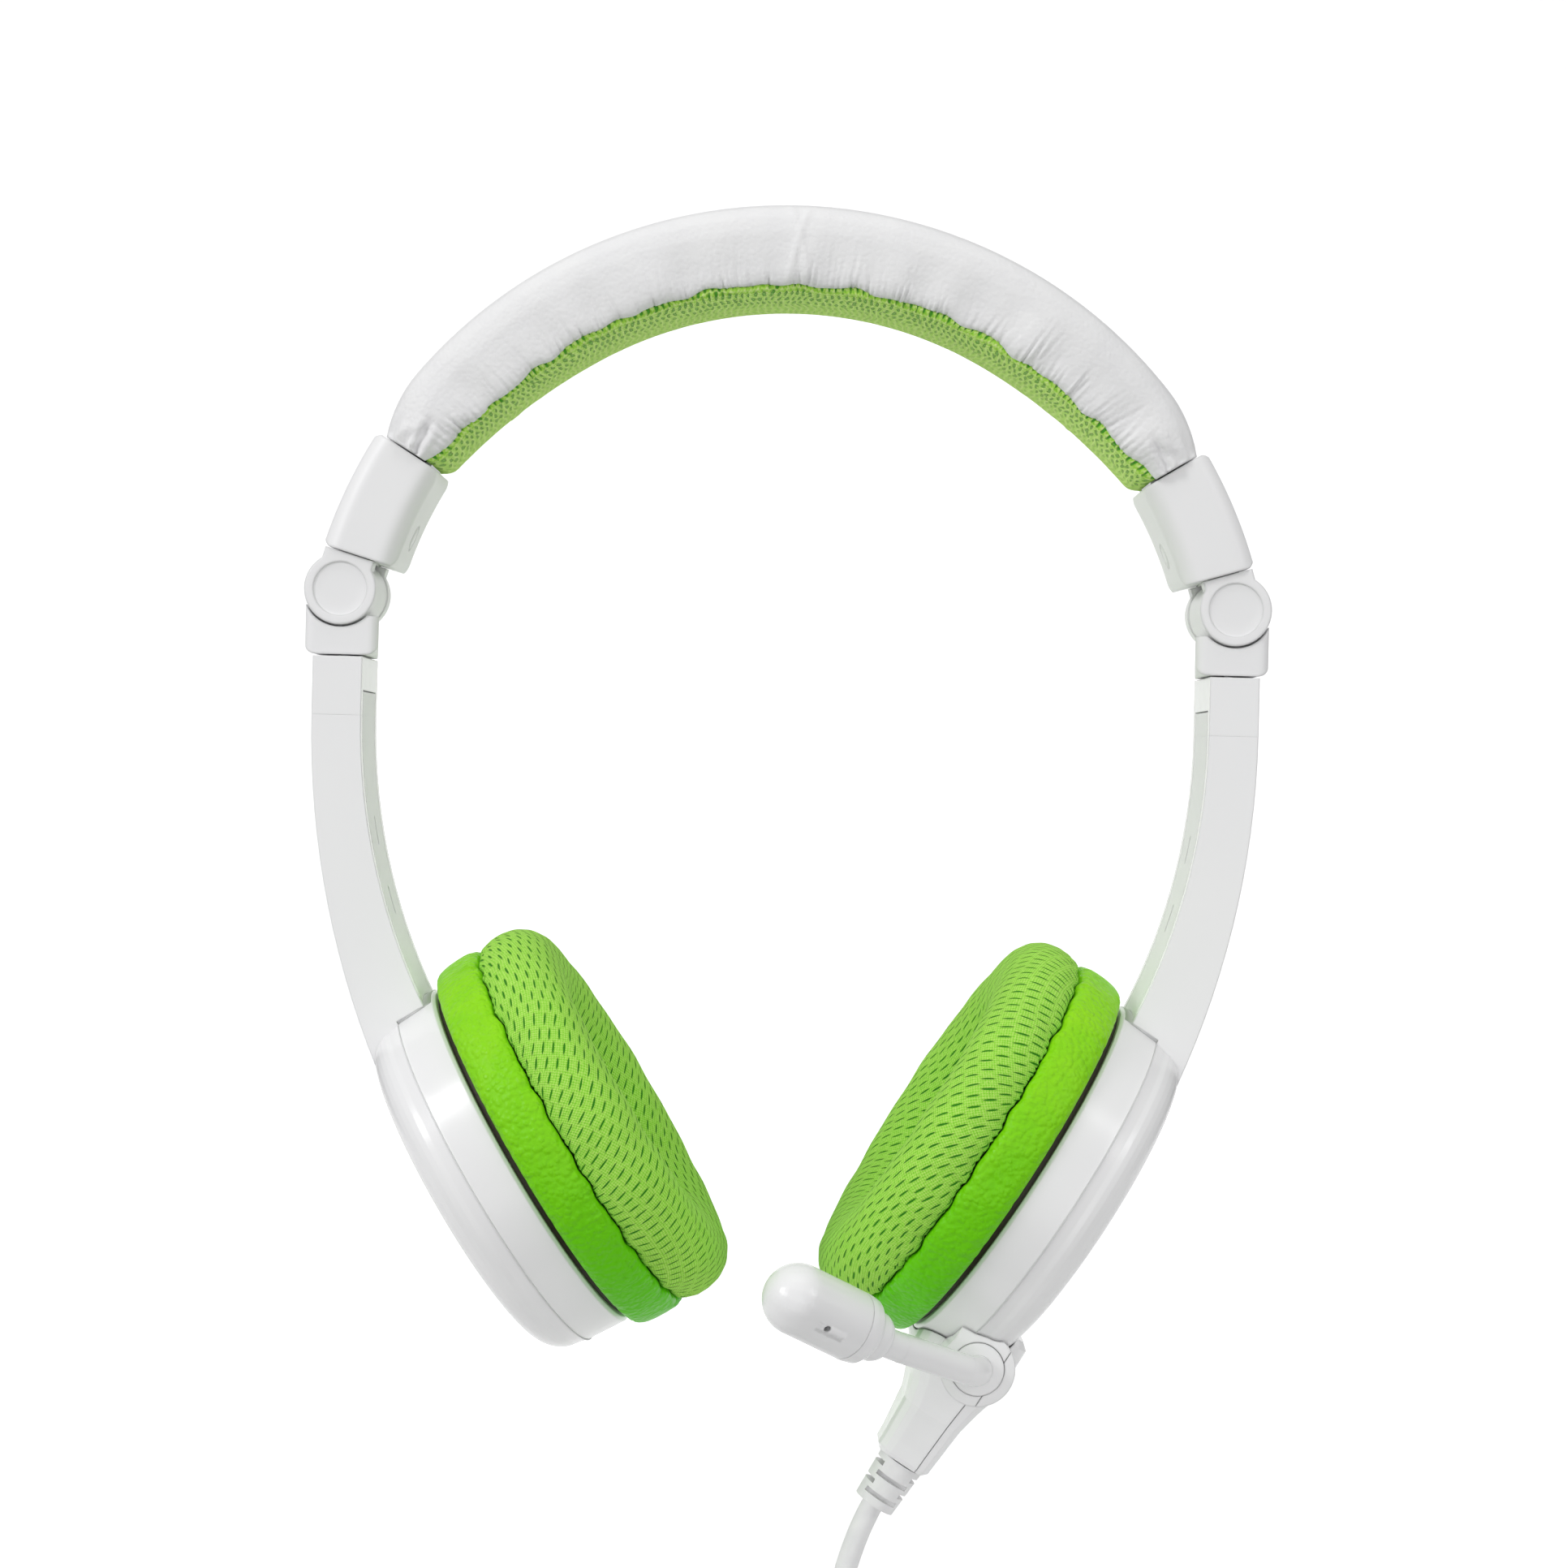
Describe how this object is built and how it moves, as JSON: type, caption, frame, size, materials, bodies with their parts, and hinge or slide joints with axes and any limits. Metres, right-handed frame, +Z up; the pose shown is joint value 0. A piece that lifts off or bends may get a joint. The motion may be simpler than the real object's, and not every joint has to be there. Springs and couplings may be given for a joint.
{
  "type": "children's on-ear headset with boom microphone",
  "caption": "Padded headband with folding, sliding arms, round tilted on-ear cups with soft cushions, and a plug-in lead that carries a swivelling microphone boom.",
  "frame": {"origin": "underside of the head pad at its crown, in the middle of its depth", "axes": "+Z up from the head, +X towards the side that carries the microphone, -Y to the wearer's front"},
  "size_m": [0.1566, 0.0804, 0.3167],
  "materials": {
    "white_plastic": "smooth satin moulding",
    "white_leatherette": "soft white leatherette with fine creases",
    "green_knit": "open sports mesh",
    "lime_leatherette": "pebbled leatherette",
    "light_green_mesh": "open mesh over foam",
    "dark_plastic": "matt",
    "spring_steel": "drawn",
    "plated_contact": "plated",
    "grey_plastic": "matt",
    "film": "thin pressed film",
    "dark_green_cloth": "thin acoustic cloth",
    "white_cable": "smooth flexible jacket"
  },
  "bodies": {
    "headband": {"band_spring": "spring_steel", "band_pad": "green_knit", "band_cover": "white_leatherette", "left_sleeve": "white_plastic", "right_sleeve": "white_plastic", "left_sleeve_screw": "spring_steel", "right_sleeve_screw": "spring_steel", "left_knuckle": "white_plastic", "right_knuckle": "white_plastic", "left_hinge_pin": "spring_steel", "right_hinge_pin": "spring_steel", "left_hinge_caps": "white_plastic", "right_hinge_caps": "white_plastic"},
    "left_slider": {"left_bracket": "white_plastic", "left_size_strip": "spring_steel"},
    "left_earpiece": {"left_arm_shell": "white_plastic", "left_arm_cover": "white_plastic", "left_cup_housing": "white_plastic", "left_cup_screws": "spring_steel", "left_baffle": "dark_plastic", "left_driver_frame": "grey_plastic", "left_driver_magnet": "spring_steel", "left_driver_diaphragm": "film", "left_ear_grille": "dark_green_cloth", "left_cushion_ring": "dark_plastic", "left_cushion_rim": "lime_leatherette", "left_cushion_face": "light_green_mesh"},
    "right_slider": {"right_bracket": "white_plastic", "right_size_strip": "spring_steel"},
    "right_earpiece": {"right_arm_shell": "white_plastic", "right_arm_cover": "white_plastic", "right_cup_housing": "white_plastic", "right_cup_screws": "spring_steel", "right_baffle": "dark_plastic", "right_driver_frame": "grey_plastic", "right_driver_magnet": "spring_steel", "right_driver_diaphragm": "film", "right_ear_grille": "dark_green_cloth", "right_cushion_ring": "dark_plastic", "right_cushion_rim": "lime_leatherette", "right_cushion_face": "light_green_mesh", "audio_socket": "grey_plastic"},
    "microphone_lead": {"plug_shell_inner": "white_plastic", "plug_shell_outer": "white_plastic", "jack_pin": "plated_contact", "strain_relief": "white_cable", "cable": "white_cable", "cable_coil": "white_cable", "coil_tie": "white_cable", "far_plug": "white_plastic", "far_pin": "plated_contact"},
    "microphone_boom": {"boom_hub": "white_plastic", "boom_tube": "white_plastic", "capsule_cap": "white_plastic", "capsule_shell": "white_plastic", "mic_element": "spring_steel"}
  },
  "joints": [
    {"name": "left_fold", "type": "hinge", "parent": "headband", "child": "left_slider", "pos_m": [-0.07252, 0, -0.04962], "axis": [0, 1, 0], "range_deg": [-70, 0], "deforming": ["right_cushion_face"]},
    {"name": "right_fold", "type": "hinge", "parent": "headband", "child": "right_slider", "pos_m": [0.07252, 0, -0.04962], "axis": [0, 1, 0], "range_deg": [0, 12], "deforming": ["left_cushion_face"]},
    {"name": "left_size", "type": "slide", "parent": "left_slider", "child": "left_earpiece", "axis": [0, 0, -1], "range_m": [0, 0.018]},
    {"name": "right_size", "type": "slide", "parent": "right_slider", "child": "right_earpiece", "axis": [0, 0, 1], "range_m": [-0.018, 0]},
    {"name": "boom_swing", "type": "hinge", "parent": "microphone_lead", "child": "microphone_boom", "pos_m": [0.03305, -0.019, -0.17156], "axis": [0, 1, 0], "range_deg": [-120, 20]},
    {"name": "lead_pull", "type": "slide", "parent": "right_earpiece", "child": "microphone_lead", "axis": [0.5299, 0, 0.848], "range_m": [-0.016, 0]}
  ]
}
